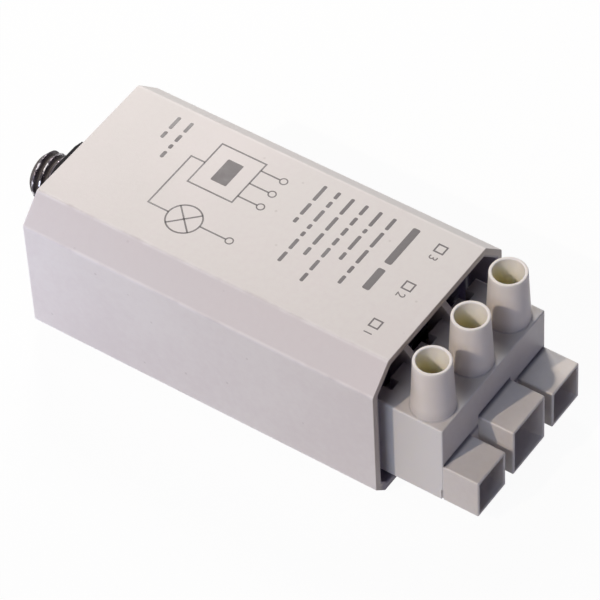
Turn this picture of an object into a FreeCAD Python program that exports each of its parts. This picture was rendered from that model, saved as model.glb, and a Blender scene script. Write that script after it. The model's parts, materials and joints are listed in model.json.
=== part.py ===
import FreeCAD, Part
import math
import os

# A lamp ignitor for discharge lamps: a moulded box closed at the back and filled with
# compound, a threaded fixing stud in its rear wall, and a three-pole terminal block
# standing out of its open front. Millimetres. X runs from the rear mounting face to the
# terminals, Y runs across, Z is up. The origin is the centre of the rear mounting face,
# on the axis of the stud.

# Terminal clamps: a cage that a captive screw draws up under a fixed bar
pole_count = 3
pole_pitch = 10.0
thread_radius = 1.72
thread_clearance = 0.05
head_radius = 2.5
head_height = 2.5
head_play = 0.3
slot_width = 0.8
slot_depth = 1.1
cage_width = 5.7
cage_depth = 5.0
cage_side = 0.8
cage_floor = 0.9
cage_top = 1.1
cage_play = 0.15
cage_travel = 3.0
wire_space = 3.6
bar_thickness = 0.8
bar_width = 3.8
bar_gap = 0.3
tip_gap = 0.1
solder_pin = 1.2

# Terminal block
side_wall = 0.75
block_floor = 0.9
block_front_wall = 1.0
screw_web = 1.6
head_cover = 2.6
travel_room = 0.4
block_overhang = 9.5
block_set_in = 2.5
tower_setback = 3.9
tower_proud = 1.0
tower_base_radius = 3.35
tower_top_radius = 2.92
tower_bore_radius = 2.4
tower_rim_bevel = 0.15
funnel_reach = 6.0
outer_funnel_height = 7.4
middle_funnel_height = 9.3
middle_funnel_width = 8.6
funnel_roof = 0.8
funnel_lip = 0.5
funnel_flare = 3.4
block_bevel = 0.25
funnel_bevel = 0.2
funnel_step = 0.1
side_groove_width = 0.35
side_groove_height = 2.2
side_groove_depth = 0.3
rib_thickness = 1.2
rib_root = 2.9
rib_top_gap = 0.3
notch_width = 1.9
notch_depth = 1.6
foot_cover = 3.2
foot_inset = 0.6

# Casing
casing_wall = 1.4
rear_wall = 2.4
top_chamfer = 4.2
bottom_chamfer = 2.2
casing_round = 0.35
mouth_depth = 5.5
block_side_gap = 1.85
block_under_gap = 1.6

# Stud with its lock washer and thin nut
stud_radius = 4.0
stud_shank_radius = 3.6
stud_reach = 10.0
stud_point = 0.8
stud_head_height = 5.3
across_flats = 13.0
nut_height = 4.0
nut_clearance = 0.05
washer_thickness = 0.8
washer_play = 0.2
washer_radius = 7.2
washer_tooth = 1.5
washer_teeth = 12

# Pulse transformer: two E-shaped core halves round a two-section bobbin
core_half_length = 12.0
core_width = 26.0
core_thickness = 12.0
core_yoke = 4.0
core_limb = 7.0
bobbin_wall = 0.8
flange_clearance = 0.1
flange_rise = 4.6
winding_margin = 0.7
winding_round = 2.0
primary_share_length = 3.2
core_side_gap = 1.5
coil_gap = 1.5

# Circuit board and what stands on it
board_thickness = 1.6
board_stand_off = 1.4
board_margin = 0.7
board_side_gap = 2.0
pulse_cap_depth = 8.0
pulse_cap_width = 18.0
pulse_cap_height = 14.0
bypass_cap_depth = 5.0
bypass_cap_width = 13.0
bypass_cap_height = 11.0
cap_round = 0.6
diode_radius = 1.6
diode_length = 4.5
resistor_radius = 2.0
resistor_length = 9.0
part_gap = 1.5
lead_width = 1.2
lead_thickness = 0.8
lead_bend = 2.0
lead_rise = 2.4

# Gaps along the inside of the casing
head_to_core = 3.3
lead_space = 3.5
pin_space = 2.5
board_to_foot = 0.5
foot_embed = 1.0

# Lengths along X, added up from the rear wall
core_rear_x = rear_wall + stud_head_height + head_to_core
core_front_x = core_rear_x + 2 * core_half_length
pulse_cap_x = core_front_x + lead_space
bypass_cap_x = pulse_cap_x + pulse_cap_depth + part_gap
board_front_x = bypass_cap_x + bypass_cap_depth + pin_space
board_rear_x = core_front_x + 0.1 * lead_space
foot_rear_x = board_front_x + board_to_foot
compound_front_x = foot_rear_x + foot_embed
casing_length = compound_front_x + mouth_depth
block_rear_x = casing_length - block_set_in
block_front_x = casing_length + block_overhang
funnel_front_x = block_front_x + funnel_reach
screw_x = block_front_x - tower_setback

# Widths along Y
cavity_width = cage_width + 2 * cage_play
block_width = (pole_count - 1) * pole_pitch + cavity_width + 2 * side_wall
outer_funnel_width = cavity_width + 2 * (side_wall - funnel_step)
board_width = pulse_cap_width + diode_length + part_gap + 1.5 * board_margin
inner_width = max(
    block_width + 2 * block_side_gap,
    core_width + 2 * core_side_gap,
    board_width + 2 * board_side_gap,
)
casing_width = inner_width + 2 * casing_wall
pole_ys = [(i - (pole_count - 1) / 2) * pole_pitch for i in range(pole_count)]

# Heights along Z
flange_height = core_thickness + 2 * flange_rise
inner_height = flange_height + 2 * coil_gap
casing_height = inner_height + 2 * casing_wall
casing_top_z = casing_height / 2
inner_top_z = inner_height / 2
block_bottom_z = -inner_top_z + block_under_gap
cavity_floor_z = block_bottom_z + block_floor
cage_bottom_z = cavity_floor_z + tip_gap
bar_bottom_z = cage_bottom_z + cage_floor + wire_space
bar_top_z = bar_bottom_z + bar_thickness
cage_window_top_z = bar_top_z + bar_gap
cage_top_z = cage_window_top_z + cage_top
cavity_top_z = cage_top_z + cage_travel + travel_room
head_seat_z = cavity_top_z + screw_web
recess_top_z = head_seat_z + head_height + head_play
block_top_z = head_seat_z + head_cover
tower_top_z = casing_top_z + tower_proud
foot_top_z = bar_top_z + foot_cover
board_top_z = bar_bottom_z - board_stand_off
cavity_front_x = block_front_x - block_front_wall
cavity_rear_x = screw_x - (cavity_front_x - screw_x)


def vec(x, y, z):
    return FreeCAD.Vector(x, y, z)


def box(x0, x1, y0, y1, z0, z1):
    return Part.makeBox(x1 - x0, y1 - y0, z1 - z0, vec(x0, y0, z0))


def rod(radius, start, direction, length):
    return Part.makeCylinder(radius, length, start, direction)


def prism(points, direction):
    """A flat outline through the points, extruded along the direction."""
    return Part.Face(Part.makePolygon(points + points[:1])).extrude(direction)


def rounded_box(x0, x1, y0, y1, z0, z1, radius):
    """A box with its upright edges rounded."""
    body = box(x0, x1, y0, y1, z0, z1)
    return body.makeFillet(radius, long_edges(body, vec(0, 0, 1)))


def long_edges(shape, direction):
    """The straight edges of a shape that run along the direction."""
    return [
        edge
        for edge in shape.Edges
        if abs(abs(edge.tangentAt(edge.FirstParameter).dot(direction)) - 1) < 1e-6
    ]


def box_section(width, height, upper, lower):
    """Corners of the casing's cross-section, its four long edges cut at 45 degrees."""
    y = width / 2
    z = height / 2
    return [
        (-y + upper, z), (y - upper, z), (y, z - upper), (y, -z + lower),
        (y - lower, -z), (-y + lower, -z), (-y, -z + lower), (-y, z - upper),
    ]


def section_prism(section, x0, x1):
    return prism([vec(x0, y, z) for y, z in section], vec(x1 - x0, 0, 0))


def casing_inside(x0, x1):
    """The space inside the casing, whose wall is equally thick at the chamfers."""
    shrink = casing_wall * (2 - math.sqrt(2))
    section = box_section(inner_width, inner_height, top_chamfer - shrink, bottom_chamfer - shrink)
    return section_prism(section, x0, x1)


def casing():
    section = box_section(casing_width, casing_height, top_chamfer, bottom_chamfer)
    shell = section_prism(section, 0, casing_length)
    shell = shell.makeFillet(casing_round, long_edges(shell, vec(1, 0, 0)))
    rear_edges = [e for e in shell.Edges if e.BoundBox.XMax < 1e-6]
    shell = shell.makeChamfer(casing_round, rear_edges)
    stud_hole = rod(stud_shank_radius, vec(0, 0, 0), vec(1, 0, 0), rear_wall)
    return shell.cut([casing_inside(rear_wall, casing_length), stud_hole])


def hexagon(x0, x1):
    """A hexagonal bar along X with one corner straight up."""
    corner = across_flats / math.sqrt(3)
    angles = [math.pi / 2 + k * math.pi / 3 for k in range(6)]
    points = [vec(x0, corner * math.cos(a), corner * math.sin(a)) for a in angles]
    return prism(points, vec(x1 - x0, 0, 0))


def corner_trim(x0, x1):
    """A drum that takes the sharp corners off the rear end of a hexagon."""
    corner = across_flats / math.sqrt(3)
    flat = 0.95 * across_flats / 2
    slope = (corner - flat) * math.tan(math.radians(30))
    outline = [
        vec(x0, 0, 0), vec(x0, flat, 0), vec(x0 + slope, corner, 0),
        vec(x1, corner, 0), vec(x1, 0, 0),
    ]
    face = Part.Face(Part.makePolygon(outline + outline[:1]))
    return face.revolve(vec(0, 0, 0), vec(1, 0, 0), 360)


def mounting_stud():
    """A hexagon-headed bolt whose head lies behind the rear wall. The free end has the
    thread's outer radius, the stretch in the nut and the wall its pitch radius."""
    back = vec(-1, 0, 0)
    nut_face_x = -washer_thickness - nut_height
    end = rod(stud_radius, vec(nut_face_x, 0, 0), back, stud_reach + nut_face_x)
    tip = [e for e in end.Edges if e.BoundBox.XMax < -stud_reach + 1e-6]
    end = end.makeChamfer(stud_point, tip)
    shank = rod(stud_shank_radius, vec(rear_wall, 0, 0), back, rear_wall - nut_face_x)
    return shank.fuse([end, hexagon(rear_wall, rear_wall + stud_head_height)])


def lock_washer():
    """A flat ring with square teeth round its rim."""
    root = washer_radius - washer_tooth
    ring = rod(root, vec(0, 0, 0), vec(-1, 0, 0), washer_thickness)
    tooth_width = math.pi * washer_radius / washer_teeth
    tooth = box(-washer_thickness, 0, -tooth_width / 2, tooth_width / 2, root - 0.5, washer_radius)
    teeth = []
    for k in range(washer_teeth):
        copy = tooth.copy()
        copy.rotate(vec(0, 0, 0), vec(1, 0, 0), 360 * k / washer_teeth)
        teeth.append(copy)
    hole = rod(stud_radius + washer_play, vec(0, 0, 0), vec(-1, 0, 0), washer_thickness)
    return ring.fuse(teeth).cut(hole).removeSplitter()


def stud_nut():
    x0 = -washer_thickness - nut_height
    x1 = -washer_thickness
    hole = rod(stud_shank_radius + nut_clearance, vec(x0, 0, 0), vec(1, 0, 0), nut_height)
    return hexagon(x0, x1).common(corner_trim(x0, x1)).cut(hole)


def funnel_size(y):
    """Width and height of the wire funnel on a pole: the middle one is larger."""
    if abs(y) < pole_pitch / 4:
        return middle_funnel_width, middle_funnel_height
    return outer_funnel_width, outer_funnel_height


def funnel_body(y):
    """The outside of a funnel, started inside the block so that their sides run on."""
    width, height = funnel_size(y)
    x0 = cavity_front_x
    body = box(x0, funnel_front_x, y - width / 2, y + width / 2, block_bottom_z, block_bottom_z + height)
    rim = [e for e in body.Edges if e.BoundBox.XMin > funnel_front_x - 1e-6]
    top = [e for e in long_edges(body, vec(1, 0, 0)) if e.BoundBox.ZMin > block_bottom_z + 1e-6]
    return body.makeChamfer(funnel_bevel, rim + top)


def funnel_passage(y):
    """The way in for the wire: a flared mouth, then a straight throat to the clamp."""
    width, height = funnel_size(y)
    throat_half = cavity_width / 2
    throat_top_z = block_bottom_z + height - funnel_roof
    throat_x = funnel_front_x - funnel_flare
    mouth_half = width / 2 - funnel_lip

    def outline(x, half, z0, z1):
        corners = [vec(x, y - half, z0), vec(x, y + half, z0), vec(x, y + half, z1), vec(x, y - half, z1)]
        return Part.makePolygon(corners + corners[:1])

    mouth_top_z = block_bottom_z + height - funnel_lip
    flare = Part.makeLoft([
        outline(throat_x, throat_half, cavity_floor_z, throat_top_z),
        outline(funnel_front_x, mouth_half, block_bottom_z + funnel_lip, mouth_top_z),
    ], True)
    throat = box(cavity_front_x, throat_x, y - throat_half, y + throat_half, cavity_floor_z, throat_top_z)
    return [flare, throat]


def tower_body(y):
    """A tapered tower round the screwdriver hole, its rim slightly bevelled."""
    height = tower_top_z - block_top_z
    cone = Part.makeCone(tower_base_radius, tower_top_radius, height, vec(screw_x, y, block_top_z))
    rim = [e for e in cone.Edges if e.BoundBox.ZMin > tower_top_z - 1e-6]
    return cone.makeChamfer(tower_rim_bevel, rim)


def screw_passage(y):
    """Stepped hole for one screw: driver bore, head recess and shank hole."""
    up = vec(0, 0, 1)
    driver = rod(tower_bore_radius, vec(screw_x, y, recess_top_z), up, tower_top_z - recess_top_z)
    recess = rod(
        head_radius + cage_play, vec(screw_x, y, head_seat_z), up, recess_top_z - head_seat_z
    )
    shank = rod(thread_radius + cage_play, vec(screw_x, y, cavity_top_z), up, screw_web)
    return [driver, recess, shank]


def clamp_cavity(y):
    half = cavity_width / 2
    return box(cavity_rear_x, cavity_front_x, y - half, y + half, cavity_floor_z, cavity_top_z)


def rib(y):
    """A partition between two poles, sloping at 45 degrees from the block's top
    up to the ceiling of the casing, with its rear edge in the compound."""
    slope_end = casing_length - block_set_in + rib_root
    top_z = inner_top_z - rib_top_gap
    slope_top = slope_end - (top_z - block_top_z)
    rear = min(foot_rear_x, slope_top - rib_thickness)
    outline = [
        (rear, foot_top_z), (block_rear_x + rib_root, foot_top_z), (slope_end, block_top_z),
        (slope_top, top_z), (rear, top_z),
    ]
    points = [vec(x, y - rib_thickness / 2, z) for x, z in outline]
    return prism(points, vec(0, rib_thickness, 0))


def rear_notch(y):
    """The groove down the block's rear face on each pole."""
    half = notch_width / 2
    return box(block_rear_x, block_rear_x + notch_depth, y - half, y + half, foot_top_z, block_top_z)


def side_groove(side):
    """A short upright groove at the foot of each side, where the outer funnel starts."""
    y = side * block_width / 2
    deep = side_groove_depth
    return box(block_front_x - side_groove_width, block_front_x, y - deep, y + deep,
               block_bottom_z, block_bottom_z + side_groove_height)


def terminal_block():
    half = block_width / 2
    body = box(block_rear_x, block_front_x, -half, half, block_bottom_z, block_top_z)
    bevelled = [e for e in body.Edges if e.BoundBox.ZMin > block_top_z - 1e-6]
    bevelled += [e for e in long_edges(body, vec(0, 0, 1)) if e.BoundBox.XMin > block_front_x - 1e-6]
    body = body.makeChamfer(block_bevel, bevelled)
    foot_half = half - foot_inset
    foot = box(foot_rear_x, block_rear_x, -foot_half, foot_half, block_bottom_z, foot_top_z)
    ribs = [rib((a + b) / 2) for a, b in zip(pole_ys, pole_ys[1:])]
    solids = [foot] + ribs
    solids += [funnel_body(y) for y in pole_ys]
    solids += [tower_body(y) for y in pole_ys]
    holes = [side_groove(side) for side in (-1, 1)]
    for y in pole_ys:
        holes += screw_passage(y) + funnel_passage(y)
        holes += [clamp_cavity(y), rear_notch(y), bar_strip(y)]
    return body.fuse(solids).cut(holes).removeSplitter()


def bar_strip(y):
    """The flat part of a contact bar, from the clamp back to the board."""
    x0 = board_front_x - board_margin - solder_pin
    return box(x0, cavity_front_x - cage_play, y - bar_width / 2, y + bar_width / 2,
               bar_bottom_z, bar_top_z)


def contact_bar(y):
    """A flat bar with a solder pin turned down through the circuit board."""
    x0 = board_front_x - board_margin - solder_pin
    pin_bottom_z = board_top_z - board_thickness - tip_gap
    pin = box(x0, x0 + solder_pin, y - solder_pin / 2, y + solder_pin / 2, pin_bottom_z, bar_bottom_z)
    return bar_strip(y).fuse(pin).removeSplitter()


def clamp_cage(y):
    """A bent box that rises round the bar. Its floor presses the wire from below."""
    half = cage_width / 2
    x0 = screw_x - cage_depth / 2
    x1 = x0 + cage_depth
    outer = box(x0, x1, y - half, y + half, cage_bottom_z, cage_top_z)
    outer = outer.makeChamfer(cage_side / 4, long_edges(outer, vec(1, 0, 0)))
    window = box(x0, x1, y - half + cage_side, y + half - cage_side,
                 cage_bottom_z + cage_floor, cage_window_top_z)
    hole = rod(thread_radius + thread_clearance, vec(screw_x, y, cage_window_top_z), vec(0, 0, 1), cage_top)
    return outer.cut([window, hole])


def terminal_screw(y):
    """A slotted cheese-head screw, captive above its web, its tip over the bar."""
    up = vec(0, 0, 1)
    tip_z = bar_top_z + tip_gap
    shank = rod(thread_radius, vec(screw_x, y, tip_z), up, head_seat_z - tip_z)
    head = rod(head_radius, vec(screw_x, y, head_seat_z), up, head_height)
    rim = [e for e in head.Edges if e.BoundBox.ZMin > head_seat_z + head_height - 1e-6]
    head = head.makeChamfer(slot_width / 4, rim)
    top_z = head_seat_z + head_height
    slot = box(screw_x - head_radius, screw_x + head_radius, y - slot_width / 2, y + slot_width / 2,
               top_z - slot_depth, top_z)
    return shank.fuse(head).cut(slot)


def core_half(rear):
    """One E: a yoke with two outer limbs and a centre limb. The halves meet midway."""
    middle = core_rear_x + core_half_length
    outer = core_width / 2
    thick = core_thickness / 2
    if rear:
        x_yoke, x_inner = core_rear_x, core_rear_x + core_yoke
    else:
        x_yoke, x_inner = core_front_x, core_front_x - core_yoke
    x0, x1 = sorted((x_yoke, x_inner))
    y_limbs = [(-outer, -outer + core_yoke), (-core_limb / 2, core_limb / 2), (outer - core_yoke, outer)]
    yoke = box(x0, x1, -outer, outer, -thick, thick)
    a, b = sorted((x_inner, middle))
    limbs = [box(a, b, y0, y1, -thick, thick) for y0, y1 in y_limbs]
    return yoke.fuse(limbs).removeSplitter()


def ring(x0, x1, inner_y, inner_z, outer_y, outer_z, radius):
    """A rectangular ring round the centre limb. A radius rounds its outer corners."""
    body = box(x0, x1, -outer_y, outer_y, -outer_z, outer_z)
    if radius:
        body = body.makeFillet(radius, long_edges(body, vec(1, 0, 0)))
    return body.cut(box(x0, x1, -inner_y, inner_y, -inner_z, inner_z))


coil_x0 = core_rear_x + core_yoke
coil_x1 = core_front_x - core_yoke
flange_half_y = core_width / 2 - core_yoke - flange_clearance
flange_half_z = flange_height / 2
tube_half_y = core_limb / 2 + bobbin_wall
tube_half_z = core_thickness / 2 + bobbin_wall
primary_x1 = coil_x1 - bobbin_wall
primary_x0 = primary_x1 - primary_share_length
winding_half_y = flange_half_y - winding_margin
winding_half_z = flange_half_z - winding_margin


def coil_bobbin():
    """A square tube on the centre limb with three flanges for two windings."""
    limb_y = core_limb / 2
    limb_z = core_thickness / 2
    tube = ring(coil_x0, coil_x1, limb_y, limb_z, tube_half_y, tube_half_z, 0)
    flanges = [
        ring(x, x + bobbin_wall, limb_y, limb_z, flange_half_y, flange_half_z, bobbin_wall)
        for x in (coil_x0, primary_x0 - bobbin_wall, primary_x1)
    ]
    return tube.fuse(flanges).removeSplitter()


def winding(x0, x1):
    """A wound section that fills the bobbin between two flanges."""
    return ring(x0, x1, tube_half_y, tube_half_z, winding_half_y, winding_half_z, winding_round)


def board_parts():
    """Everything that stands on the circuit board, by name."""
    y0 = -board_width / 2 + board_margin
    z0 = board_top_z
    across = vec(0, 1, 0)
    pulse_y1 = y0 + pulse_cap_width
    bypass_y1 = y0 + bypass_cap_width
    diode_y = pulse_y1 + part_gap
    parts = {
        "pulse_capacitor": rounded_box(
            pulse_cap_x, pulse_cap_x + pulse_cap_depth, y0, pulse_y1, z0, z0 + pulse_cap_height, cap_round),
        "bypass_capacitor": rounded_box(
            bypass_cap_x, bypass_cap_x + bypass_cap_depth, y0, bypass_y1, z0, z0 + bypass_cap_height,
            cap_round),
        "charging_resistor": rod(
            resistor_radius, vec(bypass_cap_x + bypass_cap_depth / 2, bypass_y1 + part_gap,
                                 z0 + resistor_radius), across, resistor_length),
    }
    for k in range(2):
        x = pulse_cap_x + pulse_cap_depth * (0.25 + 0.5 * k)
        parts[f"breakover_diode_{k + 1}"] = rod(
            diode_radius, vec(x, diode_y, z0 + diode_radius), across, diode_length)
    return parts


def coil_lead(y):
    """A flat lead from the bobbin's front flange over the core and down to the board.
    Its side view is a strip with one round bend, extruded across its width."""
    z = core_thickness / 2 + lead_rise
    x0 = coil_x1
    x1 = core_front_x + lead_space / 2
    inner = lead_bend
    outer = lead_bend + lead_thickness
    cx = x1 - inner
    cz = z - inner
    half = math.sqrt(0.5)
    y0 = y - lead_width / 2

    def at(x, height):
        return vec(x, y0, height)

    outline = Part.Wire([
        Part.LineSegment(at(x0, z), at(cx, z)).toShape(),
        Part.Arc(at(cx, z), at(cx + inner * half, cz + inner * half), at(x1, cz)).toShape(),
        Part.LineSegment(at(x1, cz), at(x1, board_top_z)).toShape(),
        Part.LineSegment(at(x1, board_top_z), at(x1 + lead_thickness, board_top_z)).toShape(),
        Part.LineSegment(at(x1 + lead_thickness, board_top_z), at(x1 + lead_thickness, cz)).toShape(),
        Part.Arc(at(x1 + lead_thickness, cz), at(cx + outer * half, cz + outer * half),
                 at(cx, z + lead_thickness)).toShape(),
        Part.LineSegment(at(cx, z + lead_thickness), at(x0, z + lead_thickness)).toShape(),
        Part.LineSegment(at(x0, z + lead_thickness), at(x0, z)).toShape(),
    ])
    return Part.Face(outline).extrude(vec(0, lead_width, 0))


def circuit_board(pins):
    half = board_width / 2
    board = box(board_rear_x, board_front_x, -half, half, board_top_z - board_thickness, board_top_z)
    return board.cut(pins)


def build():
    """Every piece of the ignitor, by node name."""
    nodes = {
        "casing": casing(),
        "mounting_stud": mounting_stud(),
        "lock_washer": lock_washer(),
        "stud_nut": stud_nut(),
        "terminal_block": terminal_block(),
        "ferrite_core_rear": core_half(True),
        "ferrite_core_front": core_half(False),
        "coil_bobbin": coil_bobbin(),
        "secondary_winding": winding(coil_x0 + bobbin_wall, primary_x0 - bobbin_wall),
        "primary_winding": winding(primary_x0, primary_x1),
    }
    nodes.update(board_parts())
    lead_ys = [k * flange_half_y * 0.8 for k in (-1, 0, 1)]
    for number, y in enumerate(lead_ys, 1):
        nodes[f"coil_lead_{number}"] = coil_lead(y)
    bars = [contact_bar(y) for y in pole_ys]
    for number, y in enumerate(pole_ys, 1):
        nodes[f"contact_bar_{number}"] = bars[number - 1]
        nodes[f"clamp_cage_{number}"] = clamp_cage(y)
        nodes[f"terminal_screw_{number}"] = terminal_screw(y)
    nodes["circuit_board"] = circuit_board(bars)
    outside = ("casing", "lock_washer", "stud_nut")
    buried = [
        shape
        for name, shape in nodes.items()
        if name not in outside and not name.startswith(("clamp_cage", "terminal_screw"))
    ]
    nodes["potting_compound"] = casing_inside(rear_wall, compound_front_x).cut(buried)
    return nodes


os.makedirs("parts", exist_ok=True)
for name, shape in build().items():
    solids = shape.Solids
    solid = solids[0] if len(solids) == 1 else Part.makeCompound(solids)
    solid.exportStep(f"parts/{name}.step")
    print(f"{name}: {len(solids)} solid, {shape.Volume:.1f} mm3, valid {shape.isValid()}")
print(f"casing {casing_length:.2f} x {casing_width:.2f} x {casing_height:.2f} mm, "
      f"terminals to {funnel_front_x:.2f} mm, tower tops at {tower_top_z:.2f} mm")
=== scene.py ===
import functools
import json
import math
import bmesh
import bpy
import numpy as np
from mathutils import Matrix, Vector


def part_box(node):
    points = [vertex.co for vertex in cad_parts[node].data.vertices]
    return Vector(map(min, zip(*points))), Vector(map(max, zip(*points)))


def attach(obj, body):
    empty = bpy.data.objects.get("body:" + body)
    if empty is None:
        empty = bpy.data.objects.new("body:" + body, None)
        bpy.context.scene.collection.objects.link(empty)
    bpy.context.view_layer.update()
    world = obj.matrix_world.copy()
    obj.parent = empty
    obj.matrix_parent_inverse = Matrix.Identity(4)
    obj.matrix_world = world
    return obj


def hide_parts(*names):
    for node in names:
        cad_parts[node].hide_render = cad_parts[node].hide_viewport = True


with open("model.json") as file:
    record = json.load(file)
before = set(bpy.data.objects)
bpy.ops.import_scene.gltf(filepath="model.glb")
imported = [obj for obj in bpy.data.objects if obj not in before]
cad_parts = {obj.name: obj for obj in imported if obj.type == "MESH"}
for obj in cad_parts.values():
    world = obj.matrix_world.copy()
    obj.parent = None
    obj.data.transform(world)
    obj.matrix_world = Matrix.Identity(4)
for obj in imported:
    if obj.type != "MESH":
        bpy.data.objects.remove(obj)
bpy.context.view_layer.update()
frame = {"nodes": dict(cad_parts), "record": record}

print("frame loaded:", len(frame["nodes"]), "CAD nodes")

mm = 0.001


def boxOf(node):
    # lowest and highest corner of a CAD node, in millimetres
    return [(np.array(corner) / mm).tolist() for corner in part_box(node)]


def addObject(name, data):
    item = bpy.data.objects.new(name, data)
    bpy.context.scene.collection.objects.link(item)
    return item


poles = (1, 2, 3)
screwMids = [np.mean(boxOf(f"terminal_screw_{n}"), 0).round(3).tolist() for n in poles]
poleYs = [mid[1] for mid in screwMids]
screwX = screwMids[0][0]


# shader tools
def emptyTree(owner):
    owner.use_nodes = True
    owner.node_tree.nodes.clear()
    return owner.node_tree


def setInput(socket, value):
    # a link from another node, or a number, a vector or a colour
    value = getattr(value, "socket", value)
    if isinstance(value, bpy.types.NodeSocket):
        socket.id_data.links.new(value, socket)
    elif socket.type == "RGBA":
        socket.default_value = (*value[:3], 1)
    else:
        socket.default_value = value


def fill(node, **values):
    # inputs by name, with _ for each space
    for label, value in values.items():
        setInput(node.inputs[label.replace("_", " ")], value)
    return node


def addNode(tree, kind, **values):
    return fill(tree.nodes.new("ShaderNode" + kind), **values)


def mathNode(operation, *values):
    tree = next(value.tree for value in values if isinstance(value, Field))
    node = addNode(tree, "Math")
    node.operation = operation
    for socket, value in zip(node.inputs, values):
        setInput(socket, value)
    return Field(node.outputs[0])


class Field:
    # a value in a shader that adds and multiplies like a number, by one Math node each time
    def __init__(self, socket):
        self.socket = socket
        self.tree = socket.id_data

    def __add__(self, other):
        return mathNode("ADD", self, other)

    def __sub__(self, other):
        return mathNode("SUBTRACT", self, other)

    def __rsub__(self, other):
        return mathNode("SUBTRACT", other, self)

    def __mul__(self, other):
        return mathNode("MULTIPLY", self, other)

    def __truediv__(self, other):
        return mathNode("DIVIDE", self, other)

    def __abs__(self):
        return mathNode("ABSOLUTE", self)


def least(*fields):
    return functools.reduce(lambda a, b: mathNode("MINIMUM", a, b), fields)


def greatest(*fields):
    return functools.reduce(lambda a, b: mathNode("MAXIMUM", a, b), fields)


def span(a, b):
    # the long side of a right triangle with sides a and b
    return mathNode("SQRT", a * a + b * b)


def ramp(value, low, high):
    # 0 below low, 1 above high, smooth between
    node = addNode(value.tree, "MapRange", Value=value, From_Min=low, From_Max=high)
    node.interpolation_type = "SMOOTHSTEP"
    return Field(node.outputs["Result"])


def noise(place, scale, detail=2.0, rough=0.5):
    node = addNode(place.tree, "TexNoise", Vector=place, Scale=scale, Detail=detail, Roughness=rough)
    return Field(node.outputs["Fac"])


def blend(share, a, b):
    # colour a where share is 0, colour b where it is 1
    node = addNode(share.tree, "Mix")
    node.data_type = "RGBA"
    fill(node, Factor=share, A=a, B=b)
    return Field(node.outputs["Result"])


def coordinates(place):
    return [Field(axis) for axis in addNode(place.tree, "SeparateXYZ", Vector=place).outputs]


def mixShaders(tree, share, a, b):
    node = addNode(tree, "MixShader")
    for socket, value in zip(node.inputs, (share, a.outputs[0], b.outputs[0])):
        setInput(socket, value)
    return node


# view and light
view = {
    "target": (40.61, 0.0, -0.40), "azimuth": 36.93, "elevation": 48.34, "roll": -3.37,
    "distance": 617.6, "across": -2.284, "upwards": 1.042, "lens": 250.5, "sensor": 36.0,
}


def addCamera():
    # the camera looks along -back, its frame turned by roll and moved across and upwards
    a, e, r = (math.radians(view[k]) for k in ("azimuth", "elevation", "roll"))
    back = Vector((math.sin(a) * math.cos(e), -math.cos(a) * math.cos(e), math.sin(e)))
    level = Vector((math.cos(a), math.sin(a), 0.0))
    upright = back.cross(level)
    right = math.cos(r) * level + math.sin(r) * upright
    up = math.cos(r) * upright - math.sin(r) * level
    place = Vector(view["target"]) + back * view["distance"]
    place += right * view["across"] + up * view["upwards"]
    data = bpy.data.cameras.new("photoCamera")
    data.lens, data.sensor_width = view["lens"], view["sensor"]
    data.clip_start, data.clip_end = 0.01, 10.0
    camera = addObject("photoCamera", data)
    camera.matrix_world = Matrix.Translation(place * mm) @ Matrix((right, up, back)).transposed().to_4x4()
    bpy.context.scene.camera = camera


suns = {  # where the light comes from, strength, angle, colour
    "key": ((-0.238, -0.691, 0.682), 1.35, 1.0, (1.0, 0.85, 0.70)),
    "side": ((0.0, -0.766, 0.643), 0.86, 25.0, (0.73, 0.82, 1.0)),
    "back": ((-0.30, 0.90, 0.25), 0.45, 25.0, (1.0, 0.98, 0.95)),
    "front": ((0.9, -0.1, 0.3), 0.25, 60.0, (0.43, 0.50, 1.0)),
}
# round lamps by the rear end, so that the top and the near side fade towards the front
softBoxes = {  # place, size, watts, colour
    "far": ((-130.0, 170.0, 215.0), 90.0, 0.470, (1.0, 0.965, 0.92)),
    "near": ((-60.0, -75.0, 0.0), 50.0, 0.036, (0.64, 0.73, 1.0)),
}
lampAim = (40.0, 0.0, 0.0)
sky = {"colour": (0.86, 0.88, 1.0), "strength": 0.015}
floor = {
    "size": 3.0, "lowest": -13.52, "bounce": (0.50, 0.48, 0.52), "seen": (0.95, 0.95, 0.95),
    "shadowShare": 0.05,
}
white = (1.0, 1.0, 1.0)


def addLamp(name, kind, source, place, energy, colour):
    data = bpy.data.lights.new(name, kind)
    data.energy, data.color = energy, colour
    lamp = addObject(name, data)
    turn = Vector(source).to_track_quat("Z", "Y").to_matrix().to_4x4()
    lamp.matrix_world = Matrix.Translation(Vector(place) * mm) @ turn
    return data


def addLamps():
    for name, (source, strength, angle, colour) in suns.items():
        addLamp(name, "SUN", source, (0, 0, 0), strength, colour).angle = math.radians(angle)
    for name, (place, size, watts, colour) in softBoxes.items():
        data = addLamp(name, "AREA", Vector(place) - Vector(lampAim), place, watts, colour)
        data.shape, data.size = "DISK", size * mm


def seenRays(tree):
    # camera, glossy and transmission rays see the white background
    path = addNode(tree, "LightPath")
    return greatest(*(Field(path.outputs[f"Is {kind} Ray"]) for kind in ("Camera", "Glossy", "Transmission")))


def addWorld():
    bpy.context.scene.world = bpy.data.worlds.new("studio")
    tree = emptyTree(bpy.context.scene.world)
    light = addNode(tree, "Background", Color=sky["colour"], Strength=sky["strength"])
    seen = mixShaders(tree, seenRays(tree), light, addNode(tree, "Background", Color=white))
    addNode(tree, "OutputWorld", Surface=seen.outputs[0])


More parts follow.
